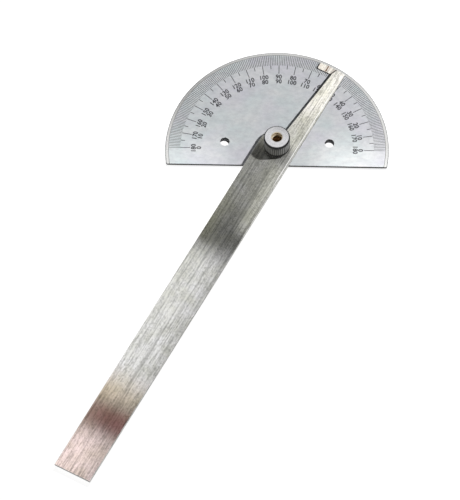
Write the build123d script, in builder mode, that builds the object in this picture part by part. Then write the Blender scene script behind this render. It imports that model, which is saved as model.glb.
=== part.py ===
from build123d import *
import os
from math import sqrt

os.makedirs("parts", exist_ok=True)

# Round-head protractor: a half-round graduated plate with a long arm that swings on a stud and is
# clamped by a knurled thumb nut. Millimetres. The origin is on the pivot axis at the back of the stud's
# head, X runs along the plate's base edge, Y to the top of its rim and Z out of its graduated face.

# Head plate
head_radius = 42.5
head_thickness = 1.0
base_drop = 7.1
corner_radius = 0.6
rim_bevel_width = 1.2
rim_bevel_depth = 0.25
screw_hole_diameter = 3.6
screw_hole_spacing = 39.8
screw_hole_height = 2.85

# Arm
arm_width = 15.0
arm_thickness = 1.0
arm_reach = 157.5
arm_rest_angle = 62.5
edge_break = 0.15
tip_inset = 0.1
tip_corner_radius = 0.35

# Pointer, which shares the arm's right edge, and the thinner tab that reads the scale
pointer_root_width = 8.0
pointer_foot_width = 4.65
pointer_nose_width = 3.5
pointer_root_fillet = 0.8
tab_reach = 3.4
tab_depth = 2.8
tab_thickness = 0.5
tab_corner_radius = 0.5

# Pivot stud
stud_head_diameter = 9.5
stud_head_thickness = 1.0
stud_head_round = 0.5
neck_diameter = 7.0
neck_flats = 6.2
shoulder_diameter = 6.0
shoulder_sink = 0.2
thread_diameter = 4.0
thread_end_chamfer = 0.4
stud_recess = 2.6

# Washers
washer_diameter = 8.0
washer_bore = 4.3
spring_washer_thickness = 0.3
spring_washer_rise = 0.4
flat_washer_thickness = 0.5
flat_washer_chamfer = 0.1

# Thumb nut
nut_diameter = 10.0
nut_height = 7.05
nut_chamfer = 0.35
nut_mouth_chamfer = 0.22
knurl_count = 40
knurl_depth = 0.25
knurl_angle = 45

# Clearances
neck_clearance = 0.05
swing_gap = 0.05
pivot_clearance = 0.05
thread_clearance = 0.05
cut_overrun = 1.0

# Levels of the stack, from the back of the stud's head up
head_back = stud_head_thickness
head_top = head_back + head_thickness
arm_bottom = head_top + swing_gap
arm_top = arm_bottom + arm_thickness
shoulder_top = arm_top - shoulder_sink
spring_washer_height = spring_washer_rise + spring_washer_thickness
flat_washer_bottom = arm_top + spring_washer_height
nut_bottom = flat_washer_bottom + flat_washer_thickness
nut_top = nut_bottom + nut_height
stud_end = nut_top - stud_recess


def double_d(diameter, across_flats):
    """A round section with two flats, for the stud's neck and for its hole in the plate."""
    with BuildSketch() as section:
        Circle(diameter / 2)
        Rectangle(diameter, across_flats, mode=Mode.INTERSECT)
    return section.sketch


# Head plate: one arc cut off by the base edge, with a bevel along the arc alone
base_half = sqrt(head_radius**2 - base_drop**2)
base_left = (-base_half, -base_drop)
base_right = (base_half, -base_drop)

with BuildPart() as protractor_head:
    with BuildSketch(Plane.XY.offset(head_back)):
        with BuildLine():
            ThreePointArc(base_right, (0, head_radius), base_left)
            Line(base_left, base_right)
        make_face()
    extrude(amount=head_thickness)
    graduated_face = protractor_head.faces().sort_by(Axis.Z)[-1]
    rim = graduated_face.edges().filter_by(GeomType.CIRCLE)
    chamfer(rim, length=rim_bevel_width, length2=rim_bevel_depth, reference=graduated_face)
    fillet(protractor_head.edges().filter_by(Axis.Z), corner_radius)
    with BuildSketch(Plane.XY.offset(head_back)):
        add(double_d(neck_diameter + 2 * neck_clearance, neck_flats + 2 * neck_clearance))
        with Locations((0, screw_hole_height)):
            with GridLocations(screw_hole_spacing, 0, 2, 1):
                Circle(screw_hole_diameter / 2)
    extrude(amount=head_thickness, mode=Mode.SUBTRACT)

protractor_head.part.label = "protractor_head"
export_step(protractor_head.part, "parts/protractor_head.step")


# Arm: a strip that ends in a round shoulder over the pivot and runs on as a narrowing pointer.
# The plane's Y runs from the pivot to the tip.
arm_plane = Plane.XY.rotated((0, 0, arm_rest_angle - 90))
arm_half = arm_width / 2
tip_radius = head_radius - rim_bevel_width - tip_inset
tip_right = (arm_half, sqrt(tip_radius**2 - arm_half**2))
tab_foot_height = tip_radius - tab_depth
tab_foot = (-tab_reach, tab_foot_height)
tab_head = (-tab_reach, sqrt(tip_radius**2 - tab_reach**2))
pointer_foot = (arm_half - pointer_foot_width, tab_foot_height)
pointer_root_x = arm_half - pointer_root_width
pointer_root = (pointer_root_x, sqrt(arm_half**2 - pointer_root_x**2))
nose_x = arm_half - pointer_nose_width
shoulder_end = (-arm_half, 0)

with BuildPart() as arm:
    with BuildSketch(arm_plane.offset(arm_bottom)) as arm_outline:
        with BuildLine():
            Polyline(shoulder_end, (-arm_half, -arm_reach), (arm_half, -arm_reach), tip_right)
            ThreePointArc(tip_right, (0, tip_radius), tab_head)
            Polyline(tab_head, tab_foot, pointer_foot, pointer_root)
            RadiusArc(pointer_root, shoulder_end, -arm_half)
        make_face()
        corners = arm_outline.vertices()
        fillet(corners.sort_by_distance(pointer_root)[0], pointer_root_fillet)
        fillet(arm_outline.vertices().sort_by_distance(tab_foot)[0], tab_corner_radius)
        fillet(arm_outline.vertices().sort_by_distance(tab_head)[0], tip_corner_radius)
        fillet(arm_outline.vertices().sort_by_distance(tip_right)[0], tip_corner_radius)
        Circle(shoulder_diameter / 2 + pivot_clearance, mode=Mode.SUBTRACT)
    extrude(amount=arm_thickness)
    long_edges = arm.faces().sort_by(Axis.Z)[-1].edges().sort_by(SortBy.LENGTH)[-2:]
    chamfer(long_edges, edge_break)
    with BuildSketch(arm_plane.offset(arm_bottom + tab_thickness)):
        with BuildLine():
            Polyline(
                pointer_foot,
                (nose_x, tip_radius),
                (nose_x, tip_radius + cut_overrun),
                (-tab_reach - cut_overrun, tip_radius + cut_overrun),
                (-tab_reach - cut_overrun, tab_foot_height),
                close=True,
            )
        make_face()
    extrude(amount=arm_thickness, mode=Mode.SUBTRACT)

arm.part.label = "arm"
export_step(arm.part, "parts/arm.step")


# Pivot stud: a flat head behind the plate, a neck with two flats, the shoulder that the arm turns on,
# which stops short of the arm's face so that the nut can clamp it, and the threaded end
with BuildPart() as pivot_stud:
    with BuildSketch(Plane.XY):
        Circle(stud_head_diameter / 2)
    extrude(amount=stud_head_thickness)
    fillet(pivot_stud.edges().sort_by(Axis.Z)[0], stud_head_round)
    with BuildSketch(Plane.XY.offset(head_back)):
        add(double_d(neck_diameter, neck_flats))
    extrude(amount=head_thickness)
    with BuildSketch(Plane.XY.offset(head_top)):
        Circle(shoulder_diameter / 2)
    extrude(amount=shoulder_top - head_top)
    with BuildSketch(Plane.XY.offset(shoulder_top)):
        Circle(thread_diameter / 2 - thread_clearance)
    extrude(amount=stud_end - shoulder_top)
    chamfer(pivot_stud.edges().sort_by(Axis.Z)[-1], thread_end_chamfer)

pivot_stud.part.label = "pivot_stud"
export_step(pivot_stud.part, "parts/pivot_stud.step")


# Spring washer: a ring cut from a bowed strip, which stands on two opposite points of its rim
washer_half = washer_diameter / 2
bow_end_top = arm_top + spring_washer_thickness
bow_crown = arm_top + spring_washer_rise

with BuildPart() as spring_washer:
    with BuildSketch(Plane.XZ):
        with BuildLine():
            ThreePointArc((-washer_half, arm_top), (0, bow_crown), (washer_half, arm_top))
            Line((washer_half, arm_top), (washer_half, bow_end_top))
            ThreePointArc((washer_half, bow_end_top), (0, flat_washer_bottom), (-washer_half, bow_end_top))
            Line((-washer_half, bow_end_top), (-washer_half, arm_top))
        make_face()
    extrude(amount=washer_half, both=True)
    with BuildSketch(Plane.XY.offset(arm_top)):
        Circle(washer_half)
        Circle(washer_bore / 2, mode=Mode.SUBTRACT)
    extrude(amount=spring_washer_height, mode=Mode.INTERSECT)

spring_washer.part.label = "spring_washer"
export_step(spring_washer.part, "parts/spring_washer.step")


# Flat washer, with its stamped edge broken
with BuildPart() as flat_washer:
    with BuildSketch(Plane.XY.offset(flat_washer_bottom)):
        Circle(washer_half)
        Circle(washer_bore / 2, mode=Mode.SUBTRACT)
    extrude(amount=flat_washer_thickness)
    stamped_edges = flat_washer.edges().filter_by(GeomType.CIRCLE).group_by(SortBy.RADIUS)[-1]
    chamfer(stamped_edges, flat_washer_chamfer)

flat_washer.part.label = "flat_washer"
export_step(flat_washer.part, "parts/flat_washer.step")


# Thumb nut: both ends chamfered, the bore opened at its mouths, and a straight knurl all round
knurl_side = knurl_depth * sqrt(2)

with BuildPart() as thumb_nut:
    with BuildSketch(Plane.XY.offset(nut_bottom)):
        Circle(nut_diameter / 2)
        Circle(thread_diameter / 2, mode=Mode.SUBTRACT)
    extrude(amount=nut_height)
    chamfer(thumb_nut.edges().filter_by(GeomType.CIRCLE).group_by(SortBy.RADIUS)[-1], nut_chamfer)
    chamfer(thumb_nut.edges().filter_by(GeomType.CIRCLE).group_by(SortBy.RADIUS)[0], nut_mouth_chamfer)
    with BuildSketch(Plane.XY.offset(nut_bottom)):
        with PolarLocations(nut_diameter / 2, knurl_count):
            Rectangle(knurl_side, knurl_side, rotation=knurl_angle)
    extrude(amount=nut_height, mode=Mode.SUBTRACT)

thumb_nut.part.label = "thumb_nut"
export_step(thumb_nut.part, "parts/thumb_nut.step")
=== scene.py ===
from math import cos, pi, radians, sin

import bmesh
import bpy
from mathutils import Matrix, Vector

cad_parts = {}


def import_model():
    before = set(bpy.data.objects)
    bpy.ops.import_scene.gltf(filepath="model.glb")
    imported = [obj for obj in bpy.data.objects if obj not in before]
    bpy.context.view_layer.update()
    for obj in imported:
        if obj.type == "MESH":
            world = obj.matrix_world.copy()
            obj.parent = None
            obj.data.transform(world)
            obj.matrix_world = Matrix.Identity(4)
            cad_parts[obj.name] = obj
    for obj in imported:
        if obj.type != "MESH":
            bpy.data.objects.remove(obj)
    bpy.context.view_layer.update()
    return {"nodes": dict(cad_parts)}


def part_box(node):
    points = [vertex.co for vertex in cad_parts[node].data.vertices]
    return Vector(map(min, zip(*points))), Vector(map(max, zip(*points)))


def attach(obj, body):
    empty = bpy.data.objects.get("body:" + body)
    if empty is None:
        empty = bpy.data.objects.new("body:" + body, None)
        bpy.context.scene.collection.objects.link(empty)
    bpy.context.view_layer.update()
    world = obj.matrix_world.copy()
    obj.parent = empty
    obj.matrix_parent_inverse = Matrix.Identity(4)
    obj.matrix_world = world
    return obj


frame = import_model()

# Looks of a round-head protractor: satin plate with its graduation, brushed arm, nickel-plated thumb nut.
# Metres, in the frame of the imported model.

MM = 0.001
NODES = frame["nodes"]

# Places of the frame that the looks are fitted to
HEAD_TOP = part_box("protractor_head")[1].z
ARM_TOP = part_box("arm")[1].z
STUD_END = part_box("pivot_stud")[1].z
NUT_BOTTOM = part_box("thumb_nut")[0].z
NUT_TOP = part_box("thumb_nut")[1].z
NUT_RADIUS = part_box("thumb_nut")[1].x
HEAD_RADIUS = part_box("protractor_head")[1].x
ARM_REST_ANGLE = radians(62.5)
ARM_ALONG = Vector((cos(ARM_REST_ANGLE), sin(ARM_REST_ANGLE), 0))
ARM_ACROSS = Vector((sin(ARM_REST_ANGLE), -cos(ARM_REST_ANGLE), 0))

# Graduation
LAST_DEGREE = 180
TICK_OUTER = 41.1 * MM
TICK_INNER_1 = 36.8 * MM
TICK_INNER_5 = 35.2 * MM
TICK_INNER_10 = 33.1 * MM
FINE_TICK_WIDTH = 0.175 * MM
BOLD_TICK_WIDTH = 0.26 * MM
DIGIT_HEIGHT = 1.9 * MM
DIGIT_CONDENSE = 0.93
DIGIT_WEIGHT = 0.032
DIGIT_GAP = 1.05
DIGIT_CURVE_STEPS = 4
OUTER_ROW_RADIUS = 31.8 * MM
INNER_ROW_RADIUS = 29.75 * MM
INK_LIFT = 0.008 * MM
TAB_TOP = 2.55 * MM
INDEX_INNER = 38.5 * MM
INDEX_OUTER = 41.15 * MM
INDEX_WIDTH = 0.5 * MM

# Lines on the head plate, by their distance from the pivot: the bevel, and painted shade lines at the bevel's
# inner edge and at the rim
BEVEL_START = HEAD_RADIUS - 1.25 * MM
BEVEL_FULL = HEAD_RADIUS - 1.15 * MM
BEVEL_SHADE_START = HEAD_RADIUS - 1.3 * MM
RIM_SHADE_START = HEAD_RADIUS - 0.2 * MM

# Painted highlight, a bright line beside the arm's right edge: its places to the left of the arm's middle,
# and along the arm
EDGE_HIGHLIGHT_LEFT = (-6.95 * MM, -6.65 * MM)
EDGE_HIGHLIGHT_ALONG = (-12 * MM, 30 * MM)
# Foot of the step between tab and pointer, across and along the arm, and its lean across for each unit along;
# a painted shadow lies on the tab beside it
STEP_FOOT = (2.85 * MM, 38.35 * MM)
STEP_LEAN = 0.41
STEP_SHADE_WIDTH = 0.75 * MM

# Where the nut's looks change, each from one place to the next: the painted shadow at the foot of its side,
# the painted shade of the brow under its top, its chamfer, painted dark as shade, and the bare brass of its
# bore
NUT_FOOT_SHADOW = (NUT_BOTTOM + 1.5 * MM, NUT_BOTTOM + 1.8 * MM)
NUT_BROW_SHADE = (NUT_TOP - 1.3 * MM, NUT_TOP - 0.8 * MM)
NUT_CHAMFER = (NUT_RADIUS - 0.5 * MM, NUT_RADIUS - 0.42 * MM)
NUT_BORE = (2.1 * MM, 2.25 * MM)

# Thread in the nut's mouth
THREAD_PITCH = 0.7 * MM
THREAD_HALF = 0.36 * THREAD_PITCH
THREAD_WALL = 2.02 * MM
THREAD_CREST = 1.72 * MM
THREAD_STEPS = 48
THREAD_FADE_STEPS = 8
THREAD_GAP = 0.3 * MM
THREAD_LEAD = 1.3 * MM

# Photograph's camera
IMAGE_WIDTH = 460
IMAGE_HEIGHT = 500
CAMERA_AZIMUTH = radians(2.6)
CAMERA_ELEVATION = radians(61.3)
CAMERA_ROLL = radians(-1.3)
CAMERA_DISTANCE = 2.5
CAMERA_CLIP = 20
PIXELS_PER_METRE = 2631
PIVOT_PIXEL = (277.0, 149.03)
SENSOR = 36

# Floor and world
FLOOR_GAP = 0.02 * MM
FLOOR_HALF = 3.0
FLOOR_OWN_WHITE = 0.93
FLOOR_PAPER = (0.8, 0.8, 0.8)
FLOOR_FAINT = (0.3, 0.3, 0.3)
UNDER_PLATE_FADE = 2 * MM
WORLD_DIFFUSE = 0.05
WHITE = (1, 1, 1)

# Key light: azimuth and elevation, watts of the lamp, and watts of the cone of light over the head beside it
PLATE_KEY = (radians(-8), radians(36), 3.0, 21)
FLOOR_KEY = (radians(50), radians(76), 2.6, 18)
REST_KEY = (radians(4), radians(55), 1.0, 19)
KEY_DISTANCE = 0.73
KEY_SIZE = 0.03
SPOT_AIM = (0, 0.012, 0)
SPOT_CONE = radians(8.8)
SPOT_BLEND = 0.5

# A view ray that a level mirror turns back rises along this, per unit of height
MIRRORED = Vector((-0.025, 0.547, 1))
OVERHEAD_HEIGHT = 300 * MM
OVERHEAD_HALF = (600 * MM, 260 * MM)
OVERHEAD_COLOUR = (0.08, 0.08, 0.08)
CARD_HEIGHT = 15 * MM

# Cards that only the arm's gloss sees, in millimetres: first and last solid place along the arm, each with
# the length over which the card fades out beyond it, colour, middle and half width across, and rise over
# CARD_HEIGHT
FLAG_CARDS = (
    ("card_pointer", (27, 17), (70, 1), (1.5, 1.44, 1.38), (0, 16), 0),
    ("card_pointer_low", (5, 9), (40, 1), (0.68, 0.67, 0.62), (0, 16), 1),
    ("card_neck", (-34, 9), (-11, 8), (0.6, 0.6, 0.56), (8, 4.5), -11),
    ("card_neck_left", (-46, 5), (-28, 8), (0.1, 0.1, 0.04), (-8.5, 4.5), -11),
    ("card_dark", (-41, 3), (-32, 11), (0.0, 0.0, 0.0), (0.5, 4), -11),
    ("card_plateau", (-106, 20), (-59, 15), (1.54, 1.54, 1.6), (-7, 16), 0),
    ("card_band_left", (-137, 6), (-120, 6), (1.2, 0.95, 0.8), (-17, 8), -1),
    ("card_olive", (-120, 11), (-110, 1), (1.15, 0.93, 0.7), (-8, 16), 0.5),
    ("card_brown", (-133, 9), (-129.5, 5), (0.20, 0.0, 0.0), (5, 15), 1),
    ("card_rose", (-190, 1), (-147, 19), (1.84, 1.47, 1.47), (-7, 16), 2),
)
# Cards over the plate's base strip, in millimetres: middle and half width, and colour
BASE_CARDS = (
    ("card_base_left", -34, 14, (1.45, 1.5, 1.48)),
    ("card_base_right", 32, 16, (1.85, 1.85, 1.8)),
)
BASE_CARD_SPAN = (-30 * MM, 3 * MM)
BASE_CARD_FADES = (MM, 6 * MM)
LEFT_CARD_PLACE = (-100 * MM, 0, 60 * MM)
LEFT_CARD_HALF_ACROSS = 30 * MM
LEFT_CARD_SPAN = (-20 * MM, 90 * MM)
LEFT_CARD_SOLID = (0, 60 * MM)
LEFT_CARD_COLOUR = (3.2, 3.2, 3.2)
NUT_CARD_HALF = 7 * MM
NUT_CARD_SOLID = 6 * MM
NUT_CARD_RISE = 8 * MM
NUT_CARD_COLOUR = (0.8, 0.8, 0.81)


def direction(azimuth, elevation):
    return Vector((cos(azimuth) * cos(elevation), sin(azimuth) * cos(elevation), sin(elevation)))


def arm_point(across, along, height=0.0):
    """A point of the arm's own plane: along runs from the pivot to the pointer's tip."""
    return ARM_ACROSS * across + ARM_ALONG * along + Vector((0, 0, height))


def add_object(name, data):
    made = bpy.data.objects.new(name, data)
    bpy.context.scene.collection.objects.link(made)
    return made


# Node helpers

class Nodes:
    """The emptied node tree of a material or world, with short calls for the nodes that are used often."""

    def __init__(self, owner):
        owner.use_nodes = True
        self.tree = owner.node_tree
        self.tree.nodes.clear()

    def node(self, kind, **settings):
        made = self.tree.nodes.new(kind)
        for setting, value in settings.items():
            setattr(made, setting, value)
        return made

    def link(self, source, target):
        self.tree.links.new(source, target)

    def math(self, operation, first, second=0.0):
        made = self.node("ShaderNodeMath", operation=operation)
        for socket, value in zip(made.inputs, (first, second)):
            if isinstance(value, (int, float)):
                socket.default_value = value
            else:
                self.link(value, socket)
        return made.outputs[0]

    def axis(self, vector, name):
        """The X, Y or Z of a vector."""
        split = self.node("ShaderNodeSeparateXYZ")
        self.link(vector, split.inputs["Vector"])
        return split.outputs[name]

    def spread(self, value, low, high, start=0.3, end=0.7, interpolation="LINEAR"):
        """Maps start..end of a value to low..high."""
        made = self.node("ShaderNodeMapRange", interpolation_type=interpolation)
        made.inputs["From Min"].default_value = start
        made.inputs["From Max"].default_value = end
        made.inputs["To Min"].default_value = low
        made.inputs["To Max"].default_value = high
        self.link(value, made.inputs["Value"])
        return made.outputs["Result"]

    def plain_shader(self, kind, colour, **values):
        """A shader of one colour."""
        made = self.node(kind)
        made.inputs["Color"].default_value = (*colour, 1)
        for socket, value in values.items():
            made.inputs[socket].default_value = value
        return made.outputs[0]

    def mixed_shader(self, factor, first, second):
        made = self.node("ShaderNodeMixShader")
        for source, socket in ((factor, "Fac"), (first, 1), (second, 2)):
            self.link(source, made.inputs[socket])
        return made.outputs[0]

    def finish(self, shader, output="ShaderNodeOutputMaterial"):
        self.link(shader, self.node(output).inputs["Surface"])


class Material(Nodes):
    """A new material, with the object's coordinates and the surface's own normal at hand."""

    def __init__(self, name):
        self.material = bpy.data.materials.new(name)
        super().__init__(self.material)
        coordinates = self.node("ShaderNodeTexCoord")
        self.place = coordinates.outputs["Object"]
        self.facing = coordinates.outputs["Normal"]

    def radius(self):
        """Distance from the pivot's axis."""
        flat = self.node("ShaderNodeVectorMath", operation="MULTIPLY")
        flat.inputs[1].default_value = (1, 1, 0)
        self.link(self.place, flat.inputs[0])
        length = self.node("ShaderNodeVectorMath", operation="LENGTH")
        self.link(flat.outputs["Vector"], length.inputs[0])
        return length.outputs["Value"]


class Metal(Material):
    """A material of the object, on one Principled shader."""

    def __init__(self, name, **values):
        super().__init__(name)
        self.shader = self.node("ShaderNodeBsdfPrincipled")
        self.finish(self.shader.outputs["BSDF"])
        for socket, value in values.items():
            self.shader.inputs[socket].default_value = value

    def stretched(self, angle, scale):
        """Object coordinates turned by -angle about Z, then scaled, for grain that runs one way."""
        turn = self.node("ShaderNodeMapping", vector_type="POINT")
        turn.inputs["Rotation"].default_value = (0, 0, -angle)
        self.link(self.place, turn.inputs["Vector"])
        size = self.node("ShaderNodeMapping", vector_type="POINT")
        size.inputs["Scale"].default_value = scale
        self.link(turn.outputs["Vector"], size.inputs["Vector"])
        return size.outputs["Vector"]

    def noise(self, place, scale, detail=2.0, roughness=0.5):
        made = self.node("ShaderNodeTexNoise")
        made.inputs["Scale"].default_value = scale
        made.inputs["Detail"].default_value = detail
        made.inputs["Roughness"].default_value = roughness
        self.link(place, made.inputs["Vector"])
        return made.outputs["Fac"]

    def blend(self, factor, first, second):
        """A mix of two colours; each is a colour or a socket."""
        made = self.node("ShaderNodeMix", data_type="RGBA")
        self.link(factor, made.inputs["Factor"])
        for socket, value in ((made.inputs[6], first), (made.inputs[7], second)):
            if isinstance(value, tuple):
                socket.default_value = (*value, 1)
            else:
                self.link(value, socket)
        return made.outputs[2]

    def upright(self, steep=0.1, flat=0.4):
        """1 on faces that stand upright, 0 on flat ones, by the upward share of their own normal."""
        return self.spread(self.math("ABSOLUTE", self.axis(self.facing, "Z")), 1, 0, steep, flat)

    def band(self, value, low, high, soft):
        """1 between low and high, 0 beyond them by more than soft."""
        rise = self.spread(value, 0, 1, low - soft, low)
        fall = self.spread(value, 1, 0, high, high + soft)
        return self.math("MULTIPLY", rise, fall)

    def bump(self, height, strength, distance):
        made = self.node("ShaderNodeBump")
        made.inputs["Strength"].default_value = strength
        made.inputs["Distance"].default_value = distance
        self.link(height, made.inputs["Height"])
        self.set("Normal", made.outputs["Normal"])

    def set(self, socket, source):
        self.link(source, self.shader.inputs[socket])


# Materials

def head_steel():
    """Satin steel plate, clouded and mottled, with a polished bevel. Painted shade: a dark line at the
    bevel's inner edge, a dark line at the rim, and near-black upright faces and hole walls."""
    s = Metal("head_steel", Metallic=0.25)
    radius = s.radius()
    tint = s.noise(s.place, 60, 2)
    cloud = s.noise(s.stretched(0, (90, 200, 200)), 1.0, 4, 0.6)
    mottle = s.noise(s.stretched(0, (420, 620, 620)), 1.0, 5, 0.75)
    fine = s.noise(s.place, 2600, 2)
    cool = s.blend(s.spread(tint, 0, 1, 0.42, 0.58), (0.73, 0.725, 0.79), (0.69, 0.765, 0.78))
    clouded = s.blend(s.spread(cloud, 0, 0.8, 0.32, 0.68), cool, (0.83, 0.835, 0.84))
    satin = s.blend(s.spread(mottle, 0, 0.48, 0.4, 0.66), clouded, (0.52, 0.54, 0.57))
    bevel = s.spread(radius, 0, 1, BEVEL_START, BEVEL_FULL)
    faces = s.blend(bevel, satin, (0.74, 0.74, 0.73))
    # Painted shade: dark lines at the bevel's inner edge and at the plate's rim
    bevel_edge_shade = s.band(radius, BEVEL_SHADE_START, BEVEL_FULL, 0.05 * MM)
    rim_shade = s.band(radius, RIM_SHADE_START, HEAD_RADIUS, 0.06 * MM)
    with_painted_lines = s.blend(s.math("MAXIMUM", bevel_edge_shade, rim_shade), faces, (0.25, 0.25, 0.25))
    # Painted shade: upright faces, the hole walls among them, near black
    s.set("Base Color", s.blend(s.upright(), with_painted_lines, (0.05, 0.05, 0.05)))
    grain = s.spread(fine, 0.42, 0.52)
    smooth = s.math("MULTIPLY", grain, s.spread(bevel, 1.0, 0.55, 0, 1))
    s.set("Roughness", s.math("MAXIMUM", smooth, s.upright()))
    s.bump(fine, 0.12, 0.02 * MM)
    return s.material


def arm_steel():
    """Steel brushed along the arm: highlights stretch across it, and short streaks run its length. The tab is
    stained. A painted shadow lies at the foot of the tab's step, a painted highlight beside the right edge,
    and painted shade on the upright faces."""
    s = Metal("arm_steel", Anisotropic=0.95)
    across = s.node("ShaderNodeVectorTransform", vector_type="VECTOR",
                    convert_from="OBJECT", convert_to="WORLD")
    across.inputs["Vector"].default_value = ARM_ACROSS
    s.set("Tangent", across.outputs["Vector"])

    streaks = s.noise(s.stretched(ARM_REST_ANGLE, (150, 2500, 2500)), 1.0, 4, 0.7)
    long_streaks = s.noise(s.stretched(ARM_REST_ANGLE, (14, 1300, 1300)), 1.0, 2)
    grain = s.noise(s.place, 1500, 2, 0.6)
    patch = s.noise(s.place, 170, 3)
    light = s.blend(s.spread(patch, 0, 1, 0.35, 0.65), (0.76, 0.76, 0.68), (0.91, 0.905, 0.88))
    grained = s.math("ADD", s.math("MULTIPLY", streaks, 0.62), s.math("MULTIPLY", grain, 0.38))
    brushed = s.blend(s.spread(grained, 0, 0.72, 0.46, 0.61), light, (0.27, 0.27, 0.24))
    scratched = s.blend(s.spread(long_streaks, 0, 0.42, 0.5, 0.66), brushed, (0.20, 0.20, 0.18))

    turned = s.stretched(ARM_REST_ANGLE, (1, 1, 1))
    along = s.axis(turned, "X")
    left = s.axis(turned, "Y")
    # Painted highlight: a bright, non-metallic line beside the arm's right edge
    edge_highlight = s.math("MULTIPLY", s.band(left, *EDGE_HIGHLIGHT_LEFT, 0.05 * MM), s.band(along, *EDGE_HIGHLIGHT_ALONG, 6 * MM))
    with_painted_lines = s.blend(edge_highlight, scratched, (0.97, 0.97, 0.95))

    height = s.axis(s.place, "Z")
    tab = s.spread(height, 1, 0, TAB_TOP + 0.1 * MM, TAB_TOP + 0.2 * MM)
    stain = s.math("MULTIPLY", tab, s.spread(s.noise(s.place, 800, 2), 0, 0.55, 0.44, 0.64))
    stained = s.blend(stain, with_painted_lines, (0.60, 0.50, 0.45))
    # Painted shadow: a dark band on the tab along the foot of its step
    leaning = s.math("ADD", left, s.math("MULTIPLY", along, STEP_LEAN))
    foot = STEP_LEAN * STEP_FOOT[1] - STEP_FOOT[0]
    step_shadow = s.math("MULTIPLY", tab, s.band(leaning, foot, foot + STEP_SHADE_WIDTH, 0.15 * MM))
    shaded = s.blend(step_shadow, stained, (0.06, 0.05, 0.045))

    s.set("Metallic", s.spread(s.math("MAXIMUM", edge_highlight, step_shadow), 0.66, 0, 0, 1))
    # Painted shade: the arm's upright faces darker than its top
    s.set("Base Color", s.blend(s.upright(), shaded, (0.34, 0.33, 0.32)))
    s.set("Roughness", s.spread(streaks, 0.26, 0.36))
    s.bump(streaks, 0.25, 0.012 * MM)
    return s.material


def stud_brass():
    """Turned brass, with painted shade: dark brown where it ends inside the nut."""
    s = Metal("stud_brass", Metallic=1.0)
    rings = s.noise(s.stretched(0, (40, 40, 5000)), 1.0, 2)
    # Painted shade: the stud's end, deep in the nut's bore, dark brown
    dull_and_painted_shade = s.spread(s.axis(s.place, "Z"), 0, 1, STUD_END - 1.2 * MM, STUD_END - 0.4 * MM)
    clean = s.blend(s.spread(rings, 0, 1), (0.70, 0.50, 0.22), (0.80, 0.60, 0.30))
    s.set("Base Color", s.blend(dull_and_painted_shade, clean, (0.16, 0.085, 0.04)))
    s.set("Roughness", s.spread(rings, 0.25, 0.42))
    s.bump(rings, 0.1, 0.01 * MM)
    return s.material


def washer_steel():
    """Plain grey spring steel."""
    s = Metal("washer_steel", Metallic=1.0)
    cloud = s.noise(s.place, 900, 3)
    s.set("Base Color", s.blend(s.spread(cloud, 0, 1), (0.20, 0.20, 0.20), (0.32, 0.31, 0.30)))
    s.set("Roughness", s.spread(cloud, 0.35, 0.55))
    s.bump(cloud, 0.1, 0.01 * MM)
    return s.material


def nut_nickel():
    """Nickel plate over brass: turning marks on top, bare brass in the bore. Painted shade: dark chamfers,
    a knurled side darker than the top and darkest in its grooves, a dark brow under the top, and a painted
    shadow at the foot of the side.
    """
    s = Metal("nut_nickel", Metallic=0.6)
    dark = (0.02, 0.02, 0.02)
    radius = s.radius()
    height = s.axis(s.place, "Z")
    turning = s.node("ShaderNodeTexNoise", noise_dimensions="1D")
    turning.inputs["Scale"].default_value = 9000
    turning.inputs["Detail"].default_value = 2
    s.link(radius, turning.inputs["W"])
    marks = turning.outputs["Fac"]

    speck = s.noise(s.place, 900, 3)
    plate = s.blend(s.spread(speck, 0, 1), (0.70, 0.70, 0.71), (0.80, 0.80, 0.81))
    # Painted shade: the knurled side darker than the nickel top, darkest in its grooves
    knurl = s.spread(radius, 0, 1, NUT_RADIUS - 0.2 * MM, NUT_RADIUS)
    side = s.blend(knurl, (0.07, 0.07, 0.07), (0.33, 0.33, 0.32))
    # Painted shade: chamfers and the top's outer ring near black
    edge = s.blend(s.upright(), dark, side)
    rim = s.math("MAXIMUM", s.upright(0.72, 0.95), s.spread(radius, 0, 1, *NUT_CHAMFER))
    # Painted shadow: a near-black band at the foot of the nut's side
    foot = s.spread(height, 1, 0, *NUT_FOOT_SHADOW)
    # Painted shade: a near-black band just under the nut's top
    brow = s.math("MULTIPLY", s.spread(height, 0, 1, *NUT_BROW_SHADE), s.upright())
    outside = s.blend(s.math("MAXIMUM", foot, brow), s.blend(rim, plate, edge), dark)
    bore = s.spread(radius, 1, 0, *NUT_BORE)
    s.set("Base Color", s.blend(bore, outside, (0.90, 0.80, 0.62)))

    dull_and_painted_shade = s.math("MULTIPLY", s.upright(), 0.45)
    s.set("Roughness", s.math("MAXIMUM", s.spread(marks, 0.16, 0.3), dull_and_painted_shade))
    s.bump(marks, 0.08, 0.01 * MM)
    return s.material


def thread_brass():
    """Bare brass of the thread's ridge, pale where the light catches it."""
    s = Metal("thread_brass", Metallic=0.2)
    speck = s.noise(s.place, 2000, 3)
    s.set("Base Color", s.blend(s.spread(speck, 0, 1), (0.80, 0.67, 0.46), (0.92, 0.84, 0.68)))
    s.set("Roughness", s.spread(speck, 0.3, 0.45))
    return s.material


def ink(name, dark, pale):
    """Paint that fills an engraved line, thinned by wear in places."""
    s = Metal(name, Metallic=0.0)
    wear = s.noise(s.place, 1800, 3)
    s.set("Base Color", s.blend(s.spread(wear, 0, 1), dark, pale))
    s.set("Roughness", s.spread(wear, 0.5, 0.7))
    return s.material


def dress(node, material):
    mesh = NODES[node].data
    mesh.materials.clear()
    mesh.materials.append(material)


# Pieces

def mesh_object(name, bm, material, body):
    mesh = bpy.data.meshes.new(name)
    bm.to_mesh(mesh)
    bm.free()
    mesh.materials.append(material)
    piece = add_object(name, mesh)
    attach(piece, body)
    return piece


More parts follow.
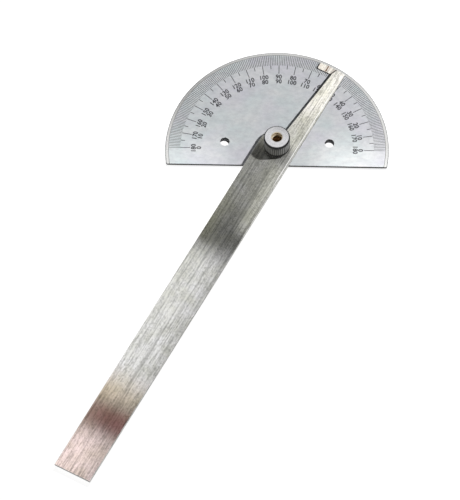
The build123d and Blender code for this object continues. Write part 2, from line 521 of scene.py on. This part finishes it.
def strip(bm, start, end, width, height):
    """A flat line from start to end, both points of the plane z = 0, lifted to height."""
    run = (end - start).normalized()
    side = Vector((-run.y, run.x, 0)) * width / 2
    lift = Vector((0, 0, height))
    corners = (start + side, start - side, end - side, end + side)
    bm.faces.new([bm.verts.new(step_shadow + lift) for step_shadow in corners])


def tick_marks(material):
    """One fine mark for each degree, with a bolder one inside it at each fifth and tenth."""
    bm = bmesh.new()
    for degree in range(LAST_DEGREE + 1):
        out = Vector((cos(radians(degree)), sin(radians(degree)), 0))
        strip(bm, out * TICK_INNER_1, out * TICK_OUTER, FINE_TICK_WIDTH, HEAD_TOP + INK_LIFT)
        if degree % 5 == 0:
            inner = TICK_INNER_5 if degree % 10 else TICK_INNER_10
            strip(bm, out * inner, out * TICK_INNER_1, BOLD_TICK_WIDTH, HEAD_TOP + INK_LIFT)
    return mesh_object("graduation_ticks", bm, material, "head")


def label_mesh(text):
    """A number as a flat mesh, centred, with digits of DIGIT_HEIGHT."""
    curve = bpy.data.curves.new("label", "FONT")
    curve.body = text
    curve.align_x = "CENTER"
    curve.align_y = "CENTER"
    curve.space_character = DIGIT_GAP
    curve.offset = DIGIT_WEIGHT
    curve.resolution_u = DIGIT_CURVE_STEPS
    holder = add_object("label", curve)
    bpy.context.view_layer.update()
    graph = bpy.context.evaluated_depsgraph_get()
    mesh = bpy.data.meshes.new_from_object(holder.evaluated_get(graph))
    bpy.data.objects.remove(holder)
    bpy.data.curves.remove(curve)
    xs = [vertex.co.x for vertex in mesh.vertices]
    ys = [vertex.co.y for vertex in mesh.vertices]
    size = DIGIT_HEIGHT / (max(ys) - min(ys))
    middle = Vector(((max(xs) + min(xs)) / 2, (max(ys) + min(ys)) / 2, 0))
    for vertex in mesh.vertices:
        placed = (vertex.co - middle) * size
        vertex.co = (placed.x * DIGIT_CONDENSE, placed.y, 0)
    return mesh


def scale_numbers(material):
    """Two rows of numbers each tenth degree, which count opposite ways and stand outwards."""
    tens = range(0, LAST_DEGREE + 1, 10)
    labels = {value: label_mesh(str(value)) for value in tens}
    bm = bmesh.new()
    for degree in tens:
        angle = radians(degree)
        turn = Matrix.Rotation(angle - pi / 2, 4, "Z")
        for radius, value in ((OUTER_ROW_RADIUS, degree), (INNER_ROW_RADIUS, LAST_DEGREE - degree)):
            start = len(bm.verts)
            bm.from_mesh(labels[value])
            bm.verts.ensure_lookup_table()
            place = Matrix.Translation((radius * cos(angle), radius * sin(angle), HEAD_TOP + INK_LIFT))
            bmesh.ops.transform(bm, matrix=place @ turn, verts=bm.verts[start:])
    for label in labels.values():
        bpy.data.meshes.remove(label)
    return mesh_object("graduation_numbers", bm, material, "head")


def index_line(material):
    """The mark on the tab that the scale is read at."""
    bm = bmesh.new()
    strip(bm, arm_point(0, INDEX_INNER), arm_point(0, INDEX_OUTER), INDEX_WIDTH, TAB_TOP + INK_LIFT)
    return mesh_object("index_line", bm, material, "arm")


def thread_ridge(material):
    """The nut's thread above the stud's end, one V-shaped ridge that climbs by the pitch each turn."""
    bottom = STUD_END + THREAD_GAP
    top = NUT_TOP - THREAD_LEAD
    turns = (top - bottom) / THREAD_PITCH
    count = int(turns * THREAD_STEPS)
    bm = bmesh.new()
    rows = []
    for step in range(count + 1):
        angle = 2 * pi * step / THREAD_STEPS
        height = bottom + THREAD_PITCH * step / THREAD_STEPS
        fade = min(1, step / THREAD_FADE_STEPS, (count - step) / THREAD_FADE_STEPS)
        crest = THREAD_WALL - (THREAD_WALL - THREAD_CREST) * fade
        out = Vector((cos(angle), sin(angle), 0))
        profile = ((THREAD_WALL, -THREAD_HALF), (crest, 0), (THREAD_WALL, THREAD_HALF))
        rows.append([bm.verts.new(out * r + Vector((0, 0, height + z))) for r, z in profile])
    for low, high in zip(rows, rows[1:]):
        for i in range(2):
            bm.faces.new((low[i], low[i + 1], high[i + 1], high[i])).smooth = True
    return mesh_object("nut_thread", bm, material, "thumb_nut")


# Stage

def pale_light(tree, white, other):
    """A shader that is white to camera, glossy and transmission rays, and other for the rest."""
    path = tree.node("ShaderNodeLightPath")
    seen = tree.math("MAXIMUM", path.outputs["Is Camera Ray"], path.outputs["Is Glossy Ray"])
    either = tree.math("MAXIMUM", seen, path.outputs["Is Transmission Ray"])
    return tree.mixed_shader(either, other, white)


def world():
    made = bpy.data.worlds.new("studio")
    bpy.context.scene.world = made
    tree = Nodes(made)
    white = tree.plain_shader("ShaderNodeBackground", WHITE, Strength=1.0)
    dim = tree.plain_shader("ShaderNodeBackground", WHITE, Strength=WORLD_DIFFUSE)
    tree.finish(pale_light(tree, white, dim), "ShaderNodeOutputWorld")


def under_plate(s):
    """1 on the floor under the head plate, 0 outside, from the same half circle as the plate's."""
    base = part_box("protractor_head")[0].y
    in_circle = s.spread(s.radius(), 0, 1, HEAD_RADIUS, HEAD_RADIUS - UNDER_PLATE_FADE)
    over_base = s.spread(s.axis(s.place, "Y"), 0, 1, base, base + UNDER_PLATE_FADE)
    return s.math("MULTIPLY", in_circle, over_base)


def flat_mesh(name, half_across, start, end):
    """A rectangle in the plane z = 0, whose length runs along Y."""
    mesh = bpy.data.meshes.new(name)
    corners = [(-half_across, start, 0), (half_across, start, 0),
               (half_across, end, 0), (-half_across, end, 0)]
    mesh.from_pydata(corners, [], [(0, 1, 2, 3)])
    return mesh


def floor():
    """White floor that keeps a faint shadow: most of its white is its own, the rest is light that falls on
    it. Under the head plate, where only its holes let light in, all of it is."""
    plane = add_object("floor", flat_mesh("floor", FLOOR_HALF, -FLOOR_HALF, FLOOR_HALF))
    plane.location.z = -FLOOR_GAP
    s = Material("floor")
    paper = s.plain_shader("ShaderNodeBsdfDiffuse", FLOOR_PAPER)
    faint = s.plain_shader("ShaderNodeBsdfDiffuse", FLOOR_FAINT)
    glow = s.plain_shader("ShaderNodeEmission", WHITE, Strength=FLOOR_OWN_WHITE)
    both = s.node("ShaderNodeAddShader")
    s.link(faint, both.inputs[0])
    s.link(glow, both.inputs[1])
    shaded = s.mixed_shader(under_plate(s), both.outputs[0], paper)
    s.finish(pale_light(s, shaded, paper))
    plane.data.materials.append(s.material)
    return plane


def named_group(name, members, state):
    """A collection for light linking, whose members are all included or all excluded."""
    group = bpy.data.collections.new(name)
    for number, member in enumerate(members):
        group.objects.link(member)
        group.collection_objects[number].light_linking.link_state = state
    return group


def aimed_lamp(name, lamp, watts, place, aim):
    lamp.energy = watts
    holder = add_object(name, lamp)
    holder.location = place
    holder.rotation_euler = (Vector(aim) - place).to_track_quat("-Z", "Y").to_euler()
    holder.visible_glossy = False
    return holder


def key_pair(purpose, azimuth, elevation, watts, spot_watts):
    """A round lamp, and a cone of light over the head from the same place."""
    place = direction(azimuth, elevation) * KEY_DISTANCE
    name = "key_" + purpose
    disk = bpy.data.lights.new(name, "AREA")
    disk.shape = "DISK"
    disk.size = KEY_SIZE
    key = aimed_lamp(name, disk, watts, place, (0, 0, 0))
    key.visible_camera = False
    name = "spot_" + purpose
    cone = bpy.data.lights.new(name, "SPOT")
    cone.spot_size = SPOT_CONE
    cone.spot_blend = SPOT_BLEND
    cone.shadow_soft_size = KEY_SIZE / 2
    return key, aimed_lamp(name, cone, spot_watts, place, SPOT_AIM)


def key_lamps(graduated, tall, ground):
    """The key light and a cone of it over the head, once for the graduated plate, where the tall pieces
    throw no shadow, once for the floor, and once for all the rest."""
    plate_lamps = key_pair("plate", *PLATE_KEY)
    floor_lamps = key_pair("floor", *FLOOR_KEY)
    rest_lamps = key_pair("rest", *REST_KEY)
    low_pieces_only = named_group("no_shadow", tall, "EXCLUDE")
    for lamps, receivers in ((plate_lamps, named_group("lit_as_plate", graduated, "INCLUDE")),
                             (floor_lamps, named_group("lit_as_floor", [ground], "INCLUDE")),
                             (rest_lamps, named_group("lit_as_rest", [ground, *graduated], "EXCLUDE"))):
        for lamp in lamps:
            lamp.light_linking.receiver_collection = receivers
    for lamp in plate_lamps:
        lamp.light_linking.blocker_collection = low_pieces_only


def card_object(name, half_across, start, end):
    """A level card, whose length runs along its own Y and which only gloss can see."""
    card = add_object(name, flat_mesh(name, half_across, start, end))
    card.visible_camera = False
    card.visible_diffuse = False
    card.visible_shadow = False
    return card


def shade_card(card, start, low, end, high, colour):
    """Plain colour from low to high along the card's own Y, which fades to nothing at start and end."""
    s = Material(card.name)
    along = s.axis(s.place, "Y")
    fade = s.math("MULTIPLY", s.spread(along, 0, 1, start, low, "SMOOTHSTEP"),
                  s.spread(along, 0, 1, end, high, "SMOOTHSTEP"))
    clear = s.node("ShaderNodeBsdfTransparent").outputs[0]
    s.finish(s.mixed_shader(fade, clear, s.plain_shader("ShaderNodeEmission", colour)))
    card.data.materials.append(s.material)


def light_only(card, node):
    """Limits a card's light to one of the CAD nodes."""
    card.light_linking.receiver_collection = named_group("lit_by_" + card.name, [NODES[node]], "INCLUDE")


def flag_card(name, low, high, colour, across, rise):
    """A studio card that only the arm's gloss can see, over the stretch that mirrors it to the camera."""
    (low, low_fade), (high, high_fade), (middle, half_across) = (
        (first * MM, second * MM) for first, second in (low, high, across))
    start, end = low - low_fade, high + high_fade
    card = card_object(name, half_across, start, end)
    card.rotation_euler.z = ARM_REST_ANGLE - pi / 2
    card.location = arm_point(middle, 0, ARM_TOP) + MIRRORED * (CARD_HEIGHT + rise * MM)
    shade_card(card, start, low, end, high, colour)
    light_only(card, "arm")


def base_card(name, middle, half_across, colour):
    """A bright card over the strip of the plate beside its base edge."""
    start, end = BASE_CARD_SPAN
    card = card_object(name, half_across * MM, start, end)
    card.location = Vector((middle * MM, 0, HEAD_TOP)) + MIRRORED * CARD_HEIGHT
    shade_card(card, start, start + BASE_CARD_FADES[0], end, end - BASE_CARD_FADES[1], colour)
    light_only(card, "protractor_head")


def nut_card():
    """A light card close above the thumb nut, for its polished end alone."""
    card = card_object("card_nut", NUT_CARD_HALF, -NUT_CARD_HALF, NUT_CARD_HALF)
    card.location = Vector((0, 0, NUT_TOP)) + MIRRORED * NUT_CARD_RISE
    shade_card(card, -NUT_CARD_HALF, -NUT_CARD_SOLID, NUT_CARD_HALF, NUT_CARD_SOLID, NUT_CARD_COLOUR)
    light_only(card, "thumb_nut")


def left_card():
    """A bright card to the left of the head, for the bevel and the scale's left end."""
    start, end = LEFT_CARD_SPAN
    low, high = LEFT_CARD_SOLID
    card = card_object("card_left", LEFT_CARD_HALF_ACROSS, start, end)
    card.location = LEFT_CARD_PLACE
    shade_card(card, start, low, end, high, LEFT_CARD_COLOUR)
    light_only(card, "protractor_head")


def overhead_card():
    """A wide grey card high above, which the metal's top faces mirror to the photograph's camera."""
    half_across, end = OVERHEAD_HALF
    card = card_object("card_overhead", half_across, -end, end)
    card.location = MIRRORED * OVERHEAD_HEIGHT
    shade_card(card, -end, -end + MM, end, end - MM, OVERHEAD_COLOUR)


def camera():
    """The photograph's camera: its direction, roll and distance, with the pivot on its pixel."""
    back = Vector((sin(CAMERA_AZIMUTH) * cos(CAMERA_ELEVATION),
                   -cos(CAMERA_AZIMUTH) * cos(CAMERA_ELEVATION),
                   sin(CAMERA_ELEVATION)))
    level = Vector((cos(CAMERA_AZIMUTH), sin(CAMERA_AZIMUTH), 0))
    steep = back.cross(level)
    right = cos(CAMERA_ROLL) * level + sin(CAMERA_ROLL) * steep
    up = cos(CAMERA_ROLL) * steep - sin(CAMERA_ROLL) * level
    aside = (PIVOT_PIXEL[0] - IMAGE_WIDTH / 2) / PIXELS_PER_METRE
    above = (IMAGE_HEIGHT / 2 - PIVOT_PIXEL[1]) / PIXELS_PER_METRE
    pivot = Vector((0, 0, HEAD_TOP))
    data = bpy.data.cameras.new("camera")
    data.sensor_width = SENSOR
    data.lens = CAMERA_DISTANCE * PIXELS_PER_METRE / IMAGE_HEIGHT * SENSOR
    data.clip_end = CAMERA_CLIP
    holder = add_object("camera", data)
    turned = Matrix((right, up, back)).transposed().to_4x4()
    turned.translation = pivot - aside * right - above * up + CAMERA_DISTANCE * back
    holder.matrix_world = turned
    bpy.context.scene.camera = holder


for names, material in (
    (("protractor_head",), head_steel()),
    (("arm",), arm_steel()),
    (("pivot_stud",), stud_brass()),
    (("thumb_nut",), nut_nickel()),
    (("spring_washer", "flat_washer"), washer_steel()),
):
    for name in names:
        dress(name, material)

black_ink = ink("scale_ink", (0.035, 0.035, 0.04), (0.09, 0.09, 0.10))
brown_ink = ink("index_ink", (0.16, 0.085, 0.05), (0.26, 0.16, 0.10))
ticks = tick_marks(black_ink)
numbers = scale_numbers(black_ink)
index_line(brown_ink)
thread = thread_ridge(thread_brass())

world()
ground = floor()
tall_nodes = [NODES[name] for name in ("thumb_nut", "flat_washer", "spring_washer", "pivot_stud")]
key_lamps([NODES["protractor_head"], ticks, numbers], [thread, *tall_nodes], ground)
for card in FLAG_CARDS:
    flag_card(*card)
for card in BASE_CARDS:
    base_card(*card)
nut_card()
left_card()
overhead_card()
camera()

bpy.context.scene.view_settings.view_transform = "Standard"
